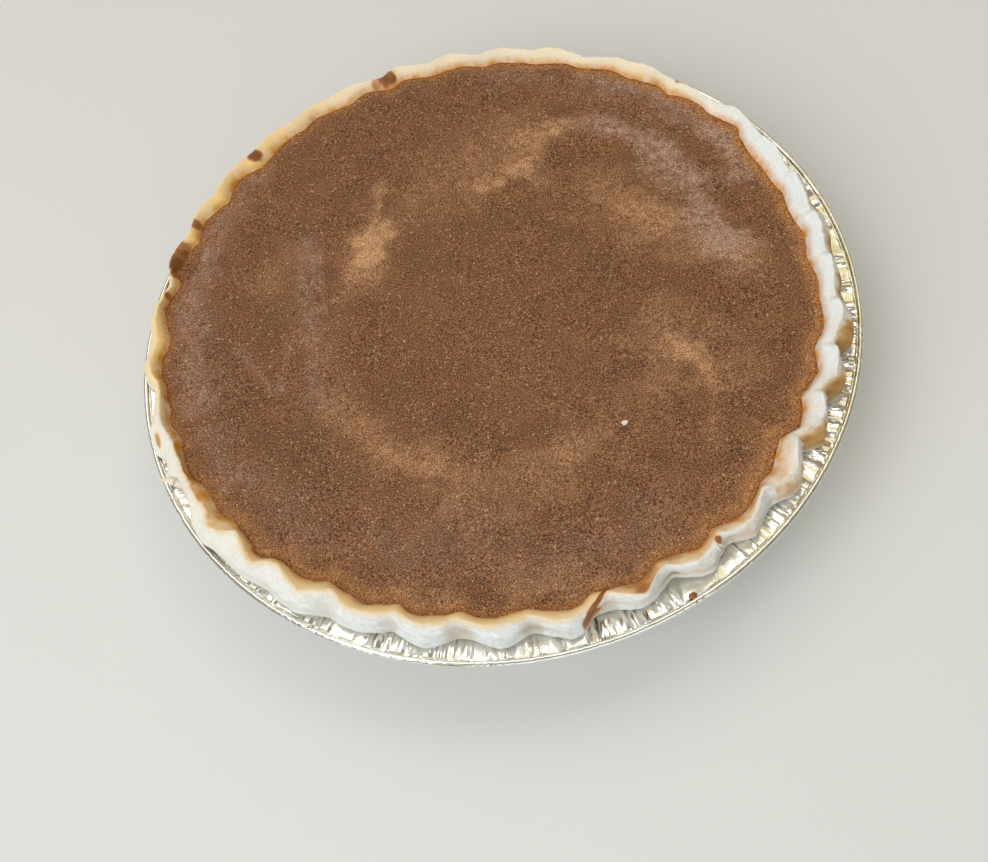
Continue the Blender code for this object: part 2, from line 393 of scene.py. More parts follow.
tin = draw_up("foil_tin", TIN_SPOKES, tin_profile)
print("tin:", len(tin_profile), "rings,", len(tin.data.polygons), "faces")


# %% Describe the folds in the foil
def panels(seed, spacing, height):
    """Flat panels between folds, as a function of the degrees round. The spacing is the
    least and greatest width of a panel, in degrees."""
    draw = random.Random(seed)
    folds, heights = [0.0], [0.0]
    while folds[-1] < 360 - spacing[1]:
        folds.append(folds[-1] + draw.uniform(*spacing))
        heights.append(draw.uniform(0.3, 1) * height * (-1 if len(folds) % 2 else 1))
    folds.append(360.0)
    heights.append(0.0)
    return lambda degrees: np.interp(degrees % 360, folds, heights)


def creases(seed, count, width, height, first=0, last=360):
    """Sharp narrow ridges at random directions, some close together in groups."""
    draw = random.Random(seed)
    found = []
    while len(found) < count:
        place = draw.uniform(first, last)
        slant = draw.uniform(-0.9, 0.9)
        for _ in range(draw.choice((1, 2, 3, 5))):
            size = draw.choice((-1, 1)) * draw.uniform(*height)
            found.append((place, draw.uniform(*width), size, slant + draw.uniform(-0.3, 0.3)))
            place += draw.uniform(0.8, 1.6)

    def field(degrees, across):
        total = np.zeros_like(degrees)
        for place, half_width, size, slant in found:
            away = np.abs((degrees - place - slant * across + 180) % 360 - 180)
            total += size * np.clip(1 - away / half_width, 0, None)
        return total

    return field


PLEAT_HEIGHT = 0.45 * MM
FOLD_LIMIT = 0.6 * MM
SHALLOW = {"width": (0.3, 0.5), "height": (0.15 * MM, 0.4 * MM)}
DEEP = {"width": (0.3, 0.6), "height": (0.2 * MM, 0.45 * MM)}
WIDE = {"width": (0.4, 0.8), "height": (0.2 * MM, 0.45 * MM)}
side_pleats = panels(seed=5, spacing=(1.1, 1.7), height=PLEAT_HEIGHT)
flange_panels = panels(seed=8, spacing=(0.9, 2.6), height=0.3 * MM)
flange_creases = creases(seed=12, count=130, **SHALLOW)
right_creases = creases(seed=77, count=44, **DEEP, first=-42, last=52)
bead_dents = panels(seed=31, spacing=(1.5, 5.0), height=0.05 * MM)
front_creases = creases(seed=51, count=72, **DEEP, first=205, last=318)
fold_group = creases(seed=63, count=16, **WIDE, first=268, last=291)
bead_creases = creases(seed=40, count=120, width=(0.25, 0.5), height=(0.06 * MM, 0.2 * MM))

# Where the rolled edge is torn: direction and half width in degrees, and share of the depth.
TORN_NOTCHES = ((161.0, 0.55, 1.0), (231.8, 0.3, 0.7))

# %% Fold the pleats and creases
radius, angle = polar(points_of(tin))
height = points_of(tin)[:, 2]
degrees = np.degrees(angle) % 360
ring_place = smooth_step(BASE_RADIUS, BASE_RADIUS + 6 * MM, radius)
on_side = ring_place * smooth_step(MOUTH_RADIUS + 4 * MM, MOUTH_RADIUS, radius)
on_flange = smooth_step(MOUTH_RADIUS, MOUTH_RADIUS + 3 * MM, radius)
on_flange *= smooth_step(GROOVE_RADIUS - 0.1 * MM, GROOVE_RADIUS - 0.7 * MM, radius)
on_bead = smooth_step(GROOVE_RADIUS, GROOVE_RADIUS + 0.4 * MM, radius)
across = (radius - MOUTH_RADIUS) / (GROOVE_RADIUS - MOUTH_RADIUS)

radius = radius + on_side * (side_pleats(degrees) - PLEAT_HEIGHT)
folds = flange_panels(degrees + 1.5 * across)
folds += flange_creases(degrees, across) + right_creases(degrees, 0.4 * across)
folds += front_creases(degrees, 0.6 * across) + fold_group(degrees, 0.6 * across)
height = height + on_flange * np.clip(folds, -FOLD_LIMIT, FOLD_LIMIT)
dent = np.abs(bead_dents(degrees)) + np.abs(bead_creases(degrees, np.zeros_like(degrees)))
radius = radius - on_bead * dent
height = height - on_bead * np.abs(bead_dents(degrees + 7.0))
torn = np.zeros_like(degrees)
for direction, half_width, depth in TORN_NOTCHES:
    torn += depth * np.clip(1 - np.abs(degrees - direction) / half_width, 0, 1)
radius = radius - 0.9 * MM * torn * on_bead
height = height - 1.1 * MM * torn * np.clip(on_bead + on_flange, 0, 1)
height = np.maximum(height, 0)
move_points(tin, from_polar(np.minimum(radius, TIN_RADIUS), angle, height))
tin.data.shade_smooth()
tin.data.set_sharp_from_angle(angle=math.radians(22))

# %% [markdown]
# ## The pastry case
#
# The dough lines the tin, lies over the flange and is pinched into a standing rim. The
# rim is a wave: round bulges outwards, and sharp creases inwards where a finger pushed.
# One could pull out every other column of points with proportional editing. The waves of
# a hand-made rim drift and change depth all the way round, so here the profile is redrawn
# for every direction: a few stations on it are given as functions of the angle, and the
# rings of the drawn-up case are laid on a smooth curve through them.

# %% Small unevenness of the rim
ridge_unevenness = slow_waves(seed=4, amount=0.4 * MM, waves=14)
lip_unevenness = slow_waves(seed=15, amount=0.14 * MM, waves=30, first=40)


# %% The stations of the profile in each direction
def crease_at(turn, width=0.09):
    return bell((turn % 1 - 0.5) / width)


def slope_of(turn):
    """Rises from one crease to the next, from -1 to 1, and drops back at the crease."""
    along = (turn + 0.5) % 1 - 0.5
    return 2 * along * smooth_step(0.5, 0.44, np.abs(along))


def stations(angle):
    """Radius and height of the profile's stations, from the bottom inside over the rim to
    the bottom outside. On the right the rim was pinched aslant: each flute starts as a
    raised fin with a sharp edge and ends as a low round lobe."""
    turn = turn_at(angle)
    crease, slope = crease_at(turn), slope_of(turn)
    right = near(angle, -18, 42)
    front = near(angle, 250, 52)
    left = near(angle, 182, 24)
    hidden = near(angle, 85, 48)
    flap = near(angle, 189.5, 2.6)
    fill = fill_edge(angle)
    crest = np.maximum(read_line(angle, CREST), fill + 1.3 * MM)
    shoulder = crest + (0.8 + 0.4 * front + 0.7 * left + 0.3 * hidden + 1.6 * flap) * MM
    lip = np.maximum(read_line(angle, LIP) * (1 - hidden) + (crest + 2 * MM) * hidden, shoulder + 0.1 * MM)
    lip = np.minimum(lip + lip_unevenness(angle), LIP_LIMIT)
    top = RIDGE_HEIGHT + ridge_unevenness(angle) - (0.25 * right + 0.8 * flap) * MM
    fin = ((0.75 * right + 0.1) * slope - (0.2 - 0.1 * right) * crease) * MM
    top = np.minimum(top, RIDGE_LIMIT - 0.75 * right * MM)
    cave = near(angle, 287.4, 1.9)
    lift = (1.7 * cave + 1.0 * near(angle, 211.5, 3.0) + 0.4 * crease * near(angle, 290, 60)) * MM
    same = np.ones_like(angle)
    hollow = (0.5 + 0.6 * crease * near(angle, 290, 60)) * (1 - right) * MM
    wall = shoulder + (0.55 + 0.25 * right) * (lip - shoulder) - 0.3 * hollow
    slope_height = FILL_LEVEL + (0.64 + 0.08 * right) * (top - FILL_LEVEL)
    return (
        # The floor and the wall inside, then the edge of the custard.
        (79.7 * MM * same, 3.7 * MM * same),
        (94.6 * MM * same, 29.0 * MM * same),
        (fill - 1.1 * MM, 33.0 * MM * same),
        (fill + 0.1 * MM, FILL_LEVEL + 0.1 * MM * same),
        # The slope that shows inside, the two sides of the crest, and the shoulder.
        (fill + (0.5 - 0.08 * right) * (crest - fill), slope_height + 0.2 * fin),
        (crest - 0.35 * MM, top - 0.12 * MM + 0.75 * fin),
        (crest + 0.35 * MM, top - 0.05 * right * MM + fin),
        (shoulder, top - (1.0 - 0.3 * right) * MM + fin),
        # The wall outside, down to the lip and under it.
        (wall, 0.6 * top + 0.4 * LIP_LEVEL + 0.3 * right * MM),
        (lip - 1.4 * hollow - 0.1 * right * MM, 0.3 * top + 0.7 * LIP_LEVEL + 0.2 * right * MM),
        (lip - (0.1 + 0.1 * right) * MM, 31.5 * MM + lift),
        (lip - 0.4 * right * MM, 30.4 * MM + lift),
        (lip - (0.6 + 0.6 * right) * MM, 29.4 * MM + lift),
        # Along the flange, and down between the custard and the tin.
        (np.minimum(lip - (2.0 + 2.5 * cave) * MM, 104.5 * MM), 29.2 * MM + 0.8 * lift),
        (100.9 * MM * same, 29.3 * MM * same),
        (99.2 * MM * same, 28.0 * MM * same),
        (83.4 * MM * same, 1.4 * MM * same),
        (82.4 * MM * same, 0.8 * MM * same),
    )


# %% Draw up the pastry and lay its rings on the stations
PASTRY_SPOKES = FLUTES * 42
STEPS = (1, 1, 3, 4, 4, 3, 4, 4, 4, 4, 3, 3, 2, 1, 1, 1, 1)


def rings_between(stations_r, stations_z, steps):
    """Points of a smooth curve through the stations, with so many steps between each
    two, and for every point its place on the list of stations."""
    path = np.stack((stations_r, stations_z), axis=-1)
    path = np.concatenate((path[:1], path, path[-1:]))
    rings, places = [path[1]], [0.0]
    for k, (a, b, c, d) in enumerate(zip(path, path[1:], path[2:], path[3:])):
        for t in np.arange(1, steps[k] + 1) / steps[k]:
            bend = (2 * a - 5 * b + 4 * c - d) * t**2 + (3 * b - a - 3 * c + d) * t**3
            rings.append((2 * b + (c - a) * t + bend) / 2)
            places.append(k + t)
    return np.array(rings), np.array(places)


start_radius, start_height = (np.array(values)[:, 0] for values in zip(*stations(np.zeros(1))))
start_rings, places = rings_between(start_radius, start_height, STEPS)
pastry = draw_up("pastry_case", PASTRY_SPOKES, [tuple(point) for point in start_rings])

angle = polar(points_of(pastry))[1]
ring = np.arange(len(angle)) // PASTRY_SPOKES
spoke_angle = angle[:PASTRY_SPOKES]
station_radius, station_height = (np.array(values) for values in zip(*stations(spoke_angle)))
rings = rings_between(station_radius, station_height, STEPS)[0]
order = np.argsort(spoke_angle)
radius = np.empty_like(angle)
height = np.empty_like(angle)
for k in range(len(places)):
    here = ring == k
    radius[here] = np.interp(angle[here], spoke_angle[order], rings[k, order, 0])
    height[here] = np.interp(angle[here], spoke_angle[order], rings[k, order, 1])
place = places[ring]
shaped = from_polar(radius, angle, height)
print("pastry:", len(pastry.data.polygons), "faces,", len(places), "rings")

# %% Roughen the dough
FLAP_RADIUS = 106.6 * MM
FLAP_DIRECTION = 190.4

on_rim = smooth_step(3.4, 5, place) * smooth_step(12.5, 11.5, place)
dough = lumps(shaped, 4 * MM, seed=2.0)
fine_dough = lumps(shaped, 1.3 * MM, seed=5.0)
outward = from_polar(np.ones_like(radius), angle, np.zeros_like(radius))
uneven = lumps(shaped, 3 * MM, seed=12.0, detail=2)
ragged = lumps(shaped, 1.5 * MM, seed=17.0, detail=2)
folded = near(angle, 291, 7) + 0.7 * near(angle, 312, 8)
folded += 0.6 * near(angle, 267, 4) + 0.5 * near(angle, 222, 12)
fold_line = folded * bell((place - 9.3 - 0.5 * uneven) / 0.45)
shaped -= (0.45 * MM * fold_line)[:, None] * outward
shaped += (on_rim * (0.2 * dough + 0.07 * fine_dough) * MM)[:, None] * outward
shaped[:, 2] += on_rim * smooth_step(10, 8, place) * (0.12 * dough + 0.05 * fine_dough) * MM
across_flap = (radius - FLAP_RADIUS) / (1.1 * MM)
along_flap = (np.degrees(angle) % 360 - FLAP_DIRECTION) / 1.4
flap_hollow = np.hypot(across_flap, along_flap)
shaped[:, 2] -= 1.2 * MM * bell(flap_hollow) * on_rim
shaped[:, 2] = np.minimum(shaped[:, 2], RIM_LIMIT)
move_points(pastry, shaped)
pastry.data.shade_smooth()
print(f"rim top at {1000 * shaped[:, 2].max():.1f} mm")

# %% [markdown]
# ## How the rim browned
#
# Pastry takes colour where it is thin, where custard ran over it, and where it faced the
# heat. The pale cream is the dough itself. Each kind of browning is painted on the points
# as a number, and so is painted light and shade: shade in the hollows of the lobes and
# folds, a cooler, whiter tint on the front, and a golden slope made lighter where it faces
# away from the lamps. The material turns the numbers into colour. Near() picks a stretch
# of the rim by its direction. Smooth_step() of the place picks a band across it: 3 is the
# edge of the custard, 6 the crest, 7 the shoulder and 11 the lip.

# %% Paint the broad colours of the rim
slope = slope_of(turn_at(angle + 0.012 * uneven + 0.006 * ragged))
noisy_place = place + 0.4 * uneven + 0.25 * ragged
above_wall = smooth_step(2.0, 2.6, place)
front_side = np.clip(near(angle, 226, 32) + near(angle, 270, 32), 0, 1)
left_front = near(angle, 198, 12)
right_side = near(angle, -20, 36)
golden = smooth_step(7.8, 5.0, noisy_place + 1.2 * near(angle, 291, 14)) * above_wall
golden *= 0.05 + 0.95 * front_side
tan = np.clip(near(angle, 176, 20) + near(angle, 150, 22) + 0.55 * near(angle, 124, 16), 0, 1)
tan += 0.3 * near(angle, 100, 26) * smooth_step(6.5, 3.5, place)
tan += 0.5 * near(angle, 48, 18) * smooth_step(5.6, 3.6, noisy_place)
tan += 0.25 * near(angle, 308, 16) * smooth_step(6.0, 4.0, noisy_place)
tan = tan * smooth_step(9, 7, place) * smooth_step(188, 181, np.degrees(angle) % 360)
tan *= 0.6 + 0.4 * smooth_step(6.8, 4.6, noisy_place)
orange = 1.1 * smooth_step(4.2, 3.0, place + 0.14 * ragged + 0.12 * uneven) * above_wall
left_orange = smooth_step(5.5, 4.7, place + 0.9 * uneven + 0.7 * ragged) * above_wall
orange += 1.2 * left_front * left_orange
orange += 0.35 * near(angle, 176, 22) * smooth_step(5.0, 3.6, place + 0.6 * uneven)
orange += 0.85 * near(angle, 302, 15) * smooth_step(5.4, 3.9, noisy_place)
tip_line = bell((place - 5.9 - 0.3 * uneven) / 0.4) * smooth_step(-0.2, 0.6, ragged)
orange += 0.5 * near(angle, 222, 24) * tip_line
# Whiter dough at the front and right: partly flour, partly painted light, its cool tint standing in for
# the light from the front.
floury = np.clip(near(angle, 252, 48) + near(angle, 335, 42) + near(angle, 5, 29), 0, 1)
floury *= 1 - 0.9 * golden
floury += 0.3 * near(angle, 191, 5)

# %% Paint the toasted and shaded lobes, the painted shade and the fibres in the dough
# The lobes are partly toasted and partly painted shade, darkest at the low end of each lobe and in the
# hollow under each fin.
lobe = smooth_step(6.3, 7.6, place + 0.35 * uneven - 0.3 * (slope < 0)) * smooth_step(12, 9, place)
lobe_side = smooth_step(0.45, -0.3, slope + 0.25 * uneven)
toasted = lobe * right_side * (0.25 + 0.75 * lobe_side)
end_of_flute = smooth_step(0.2, -0.6, slope + 0.3 * uneven) * near(angle, -36, 19)
toasted += 0.45 * end_of_flute * smooth_step(4.0, 5.6, place) * smooth_step(8.5, 7, place)
toasted += 0.7 * bell(flap_hollow**2)
turning_in = (read_line(angle - 0.08, LIP) - read_line(angle, LIP)) / MM + 0.8 * uneven
shade = 0.7 * smooth_step(0.2, 2.6, turning_in) * near(angle, 262, 36)
shade *= smooth_step(6.4, 8, place + 0.4 * ragged) * smooth_step(12.5, 10.5, place)
shade += 0.6 * fold_line
along_rim = np.column_stack((angle * 0.1, radius * 0.25, height))
fibres = lumps(along_rim * (0.55, 3.2, 3.2), 1.3 * MM, seed=23.0, detail=3)

# %% Paint the brown spots, where custard ran over the rim
BROWN_SPOTS = (
    (97.8, 103.6, 2.2, 1.0),
    (98.8, 102.6, 2.0, 0.9),
    (100.6, 102.8, 1.7, 0.5),
    (128.4, 103.8, 2.3, 1.0),
    (40.3, 103.5, 1.2, 0.4),
    (151.6, 104.6, 2.2, 0.8),
    (153.6, 103.8, 2.8, 0.9),
    (155.4, 105.2, 2.4, 0.9),
    (157.2, 103.0, 1.8, 0.7),
    (162.0, 102.8, 1.3, 0.7),
    (146.2, 104.6, 1.8, 0.7),
    (295.2, 102.6, 1.1, 0.8),
)
brown = np.zeros_like(angle)
for direction, distance, size, strength in BROWN_SPOTS:
    way = math.radians(direction)
    spot = distance * MM * np.array((math.cos(way), math.sin(way)))
    gap = np.linalg.norm(shaped[:, :2] - spot, axis=1) * (1 + 0.25 * uneven + 0.15 * ragged)
    brown += strength * smooth_step(1.3, 0.6, gap / (size * MM))
streak = ((12.2, -98.2), (10.0, -100.6), (7.0, -103.0), (4.6, -105.4))
gap = distance_to_line(shaped, np.array(streak) * MM) * (1 + 0.3 * uneven + 0.2 * ragged)
brown += smooth_step(0.75, 0.3, gap / MM) * smooth_step(11, 8.5, place)
overflow = smooth_step(6.2, 5.4, noisy_place) * above_wall * near(angle, 282.6, 3.4)
brown = np.clip(brown, 0, 1) + (0.5 + 0.3 * uneven) * overflow
fibres = 1 - (0.5 - 0.7 * fibres) * (0.3 + 0.7 * near(angle, 262, 44))
paint(pastry, golden=golden, tan=tan, orange=orange, toasted=toasted, brown=brown)
paint(pastry, floury=floury, shade=shade, inner=smooth_step(5.8, 4.9, place), fibres=fibres)

# %% [markdown]
# ## The custard
#
# The custard set with a thin baked skin: nearly flat, drawn up a little where it clings
# to the pastry, with low wrinkles where it rose and sank. A disc of rings would crowd its
# points in the middle, so it is cut from a square grid, which keeps the same fine spacing
# all over for the skin's relief.

# %% Cut the custard from a grid
CELL = 0.8 * MM
TUCK = 0.9 * MM
GRID_SIZE = 2.12 * FILL_RADIUS

start_clean()
cells = math.ceil(GRID_SIZE / CELL)
bpy.ops.mesh.primitive_grid_add(x_subdivisions=cells, y_subdivisions=cells, size=cells * CELL)
custard = bpy.context.object
custard.name = custard.data.name = "custard"
bpy.ops.object.mode_set(mode="EDIT")
bpy.ops.mesh.select_mode(type="VERT")
bpy.ops.mesh.select_all(action="DESELECT")
bpy.ops.object.mode_set(mode="OBJECT")
radius, angle = polar(points_of(custard))
for vertex, gone in zip(custard.data.vertices, radius > fill_edge(angle) + TUCK):
    vertex.select = bool(gone)
bpy.ops.object.mode_set(mode="EDIT")
bpy.ops.mesh.delete(type="VERT")
bpy.ops.mesh.select_all(action="SELECT")
bpy.ops.mesh.region_to_loop()
bpy.ops.object.mode_set(mode="OBJECT")

flat = points_of(custard)
radius, angle = polar(flat)
on_edge = np.array([vertex.select for vertex in custard.data.vertices])
radius = np.where(on_edge, fill_edge(angle) + TUCK, radius)
flat = from_polar(radius, angle, np.full_like(radius, FILL_LEVEL))
print("custard:", len(custard.data.polygons), "faces on top")

# %% [markdown]
# ## How the custard browned
#
# Over the whole pie the skin is mottled. A darker disc lies in the middle, with a lighter
# wrinkle round it; there are tan streaks where the skin stands a little proud, partly paler
# skin and partly painted highlight, greyish veils of painted sheen that stand in for the
# reflection of the window, and an orange ring along the pastry. The marks are listed as
# lines or spots in mm, each with a width and a strength, as they lie on the real pie.

# %% Where the marks lie
# Light marks: partly paler, less browned skin, and partly painted highlight where the wrinkles catch the
# window.
LIGHT_MARKS = (
    ((-31, 36), (-33, 31), 3.4, 1.6),
    ((-29, 40), (-37, 24), 6.0, 0.45),
    ((-25, 58), (-28, 44), 2.0, 0.45),
    ((8, 46), (22, 48), 3.6, 0.45),
    ((22, 48), (28, 57), (38, 64), 3.4, 0.5),
    ((14, 50), (30, 60), 9.0, 0.2),
    ((22, 72), (28, 66), 6.0, 0.3),
    ((44, 30), (55, 20), 8.5, 0.45),
    ((48, 26), (54, 22), 3.0, 0.2),
    ((58, 14), (62, 4), 6.0, 0.25),
    ((50, -28), (54, -34), 3.0, 0.5),
    ((49, -26), (57, -38), 8.0, 0.45),
    ((56, -38), (57, -48), (52, -62), 1.8, 0.35),
    ((-48, -24), (-43, -34), (-36, -45), (-26, -52), 5.5, 0.38),
    ((-40, -40), (-30, -50), 2.0, 0.2),
    ((-26, -52), (-10, -60), (10, -58), (22, -50), 6.5, 0.24),
    ((9, -57), (15, -55), 4.0, 0.25),
    ((30, -44), (44, -38), 5.0, 0.15),
    ((74, 2), (79, -5), 5.0, 0.6),
    ((-12, -92), (12, -95), 4.0, 0.3),
    ((-42, -85), (-28, -90), 4.0, 0.3),
    ((-60, 38), (-66, 30), 6.0, 0.25),
    ((-12, 50), (10, 62), 10.0, 0.2),
)
# Painted sheen: greyish veils that stand in for the window's reflection on the skin.
GREY_MARKS = (
    ((-86, 46), (-92, 30), (-93, 8), (-92, -10), 4.6, 0.5),
    ((-66, 76), (-78, 60), (-86, 46), 4.5, 0.35),
    ((-52, 40), (-54, 22), (-55, 2), (-56, -18), 3.6, 0.4),
    ((-48, 36), (-50, 14), 1.5, 0.35),
    ((-78, 6), (-68, -12), 1.5, 0.35),
    ((-62, 4), (-66, -12), 1.6, 0.3),
    ((40, 66), (57, 55), 1.7, 0.6),
    ((52, 60), (65, 45), 3.4, 0.6),
    ((65, 45), (72, 26), (75, 6), 5.0, 0.9),
    ((68, 44), (72, 30), 2.0, 0.35),
    ((74, 4), (78, -4), 5.0, 0.65),
    ((84, 46), (88, 36), (87.5, 25), 3.0, 1.0),
    ((52, 82), (70, 68), (84, 48), 4.4, 0.6),
    ((20, 92), (40, 86), 4.5, 0.2),
    ((-62, -62), (-78, -40), 6.0, 0.2),
    ((-90, -20), (-84, -38), 4.0, 0.3),
    ((0, -86), (30, -84), 9.0, 0.2),
    ((-44, -70), (-20, -74), 8.0, 0.2),
)
DARK_MARKS = (
    ((-30, 82), (-26, 72), 11.0, 0.6),
    ((-60, 50), (-50, 46), 9.0, 0.5),
    ((-84, -4), (-80, -14), 7.5, 0.6),
    ((-72, -28), (-58, -36), 8.5, 0.55),
    ((34, 53), (50, 44), 5.5, 0.55),
    ((-22, -46), (0, -52), (18, -48), 4.6, 0.6),
    ((28, -36), (39, -24), (42, -6), (36, 6), 5.5, 0.5),
    ((-38, 8), (-35, -22), (-24, -42), 4.5, 0.35),
    ((-20, 28), (0, 30), (20, 26), 7.0, 0.35),
    ((-20, 92), (5, 88), (30, 80), 5.0, 0.3),
    ((-30, -68), (-10, -80), (20, -76), 7.0, 0.25),
    ((68, -8), (72, -26), 7.0, 0.3),
    ((-80, 26), (-72, 14), 6.0, 0.3),
    ((-76, 12), (-74, -14), (-64, -46), 12.0, 0.5),
    ((-56, -46), (-40, -62), 10.0, 0.35),
    ((62, 24), (64, -10), (60, -36), 9.0, 0.25),
)
RED_MARKS = (
    ((-18, 4), (2, -10), (14, -30), 15.0, 0.6),
    ((-66, -4), (-70, 4), 8.0, 0.3),
    ((80, -30), (84, -10), 7.0, 0.3),
)
FAINT_RINGS = ((88.4, 25.4), (83.9, 50.0))
DARK_DISC = (2, -9)

spots = flat[:, :2]
wobble = lumps(flat, 9 * MM, seed=21.0, detail=5)


def marks_at(marks):
    total = np.zeros(len(spots))
    for *path, width, strength in marks:
        gap = distance_to_line(spots, np.array(path) * MM)
        total += strength * bell(gap / (1.1 * width * (1 + 0.9 * wobble) * MM))
    return total


light, grey = marks_at(LIGHT_MARKS), marks_at(GREY_MARKS)
dark, red = marks_at(DARK_MARKS), marks_at(RED_MARKS)
for x, y in FAINT_RINGS:
    ring_gap = np.hypot(spots[:, 0] - x * MM, spots[:, 1] - y * MM) - 2.2 * MM
    light += 0.3 * bell(ring_gap / (0.6 * MM))

# %% Give the skin its relief
skin_unevenness = slow_waves(seed=2, amount=0.25 * MM, waves=4)
from_edge = np.clip(fill_edge(angle) - radius, 0, None)
cling = 0.6 * MM * np.exp(-from_edge / (1.3 * MM))
broad = lumps(flat, 26 * MM, seed=1.0, detail=2)
skin = lumps(flat, 5 * MM, seed=4.0)
grain = lumps(flat, 1.6 * MM, seed=9.0, detail=2)
reach = np.minimum(radius / (60 * MM), 1) * smooth_step(0, 20 * MM, from_edge)
flat[:, 2] += reach * skin_unevenness(angle)
flat[:, 2] += cling + (0.4 * light + 0.2 * grey - 0.2 * dark) * MM
flat[:, 2] += (0.3 * broad + (0.1 + 0.08 * grey) * skin + 0.05 * grain) * MM
move_points(custard, flat)

# %% Paint the custard's mottling
middle = np.linalg.norm(spots - np.array(DARK_DISC) * MM, axis=1) * (1 + 0.06 * wobble)
halo_side = near(angle, 325, 50) + near(angle, 228, 30) + 0.7 * near(angle, 30, 34)
halo_side = 0.3 + 0.7 * np.clip(halo_side, 0, 1)
halo_width = (2.3 + 2.2 * near(angle, 309, 22) + 1.4 * near(angle, 225, 30) + 1.0 * wobble) * MM
paint(custard, light=0.6 * light, grey=grey, red=red)
paint(custard, dark=dark + 0.2 * smooth_step(46 * MM, 42 * MM, middle))
paint(custard, halo=1.35 * bell(from_edge / halo_width) * halo_side)
paint(custard, rim_line=bell(from_edge / (1.0 * MM)))
paint(custard, amber=bell(from_edge / (0.9 * MM)) * near(angle, 16, 50))

# %% Close the custard's body
WAIST_LEVEL = FILL_LEVEL - 6 * MM
BOTTOM_LEVEL = 4.1 * MM

bpy.context.view_layer.objects.active = custard
bpy.ops.object.mode_set(mode="EDIT")
bpy.ops.mesh.select_all(action="SELECT")
bpy.ops.mesh.region_to_loop()
add_ring(FILL_LEVEL, WAIST_LEVEL, (0.96, 0.96, 0))
add_ring(WAIST_LEVEL, BOTTOM_LEVEL, (0.82, 0.82, 1))
close_end()
custard.data.shade_smooth()
print("custard:", len(custard.data.polygons), "faces")

# %% [markdown]
# ## Finishes
#
# Each finish is a small tree of nodes on the Principled shader. Colours are written as
# they look on a screen, from 0 to 255, and turned into the linear values that the shader
# needs. Patterns read the object's own coordinates, so they stay put on the piece.

# %% Helpers for node trees
def colour(red, green, blue):
    return (*[(value / 255) ** 2.2 for value in (red, green, blue)], 1)


def new_finish(name, metallic=0.0, roughness=0.5, specular=0.5):
    material = bpy.data.materials.new(name)
    material.use_nodes = True
    shader = material.node_tree.nodes["Principled BSDF"]
    shader.inputs["Metallic"].default_value = metallic
    shader.inputs["Roughness"].default_value = roughness
    shader.inputs["Specular IOR Level"].default_value = specular
    return material, shader, material.node_tree


def add_node(tree, kind, inputs=None, **settings):
    """A new node. Each input is a value, or the output of another node."""
    node = tree.nodes.new(kind)
    for setting, value in settings.items():
        setattr(node, setting, value)
    for socket, value in (inputs or {}).items():
        if isinstance(value, bpy.types.NodeSocket):
            tree.links.new(value, node.inputs[socket])
        else:
            node.inputs[socket].default_value = value
    return node


def mixed(tree, share, first, second, kind="MIX"):
    """One colour over another by a share, which is a number or an output."""
    inputs = {0: share, 6: first, 7: second}
    return add_node(tree, "ShaderNodeMix", inputs, data_type="RGBA", blend_type=kind).outputs[2]


def between(tree, value, low, high, start=0.0, end=1.0):
    """Turns start to end into low to high."""
    inputs = {"Value": value, "From Min": start, "From Max": end, "To Min": low, "To Max": high}
    return add_node(tree, "ShaderNodeMapRange", inputs).outputs[0]


def grain_of(tree, size, detail=2.0, low=0.3, high=0.7, seed=0.0):
    """Noise of this size, stretched so that low becomes 0 and high becomes 1."""
    place = add_node(tree, "ShaderNodeTexCoord").outputs["Object"]
    moved = add_node(tree, "ShaderNodeMapping", {"Vector": place, "Location": (seed, seed, seed)})
    inputs = {"Vector": moved.outputs[0], "Scale": 1 / size, "Detail": detail}
    pattern = add_node(tree, "ShaderNodeTexNoise", inputs).outputs["Fac"]
    return between(tree, pattern, 0, 1, low, high)


def times(tree, first, second):
    return add_node(tree, "ShaderNodeMath", {0: first, 1: second}, operation="MULTIPLY").outputs[0]


def connect(shader, outputs):
    """Links each output to the shader's socket of that name."""
    for socket, output in outputs.items():
        shader.id_data.links.new(output, shader.inputs[socket])


def painted(tree, name):
    return add_node(tree, "ShaderNodeAttribute", attribute_name=name).outputs["Fac"]


def browned(tree, tone, share, faint, full, reach, low):
    """Turns the tone faint brown first and full brown later, as the share grows."""
    tone = mixed(tree, times(tree, share, reach), tone, faint)
    return mixed(tree, between(tree, share, low, 1), tone, full)


def bump(tree, height, strength, distance):
    inputs = {"Height": height, "Strength": strength, "Distance": distance}
    return add_node(tree, "ShaderNodeBump", inputs).outputs[0]


# %% [markdown]
# ### Foil
#
# Bare aluminium foil, bright but not a clean mirror: rolling leaves a fine satin, and
# handling leaves small scuffs. The shader is metal with a little roughness that varies.

# %% Foil finish
foil, shader, tree = new_finish("foil", metallic=1.0)
tone = mixed(tree, grain_of(tree, 3 * MM), colour(231, 227, 215), colour(247, 246, 239))
satin = between(tree, grain_of(tree, 1.2 * MM, seed=3.0), 0.09, 0.22)
scuffs = bump(tree, grain_of(tree, 0.7 * MM, detail=3, seed=5.0), 0.25, 0.05 * MM)
connect(shader, {"Base Color": tone, "Roughness": satin, "Normal": scuffs})

# %% [markdown]
# ### Pastry
#
# Matt, floury dough. The painted numbers choose between cream, tan, golden and brown,
# together with painted shade and light, and noise breaks up every border, because
# browning is never even.

# %% Pastry finish
dough_finish, shader, tree = new_finish("pastry", roughness=0.65, specular=0.25)
blotches = grain_of(tree, 4 * MM, detail=4, low=0.35, high=0.65)
flour = grain_of(tree, 0.6 * MM, detail=3, low=0.3, high=0.7, seed=2.0)
tone = mixed(tree, flour, colour(228, 211, 184), colour(242, 230, 208))
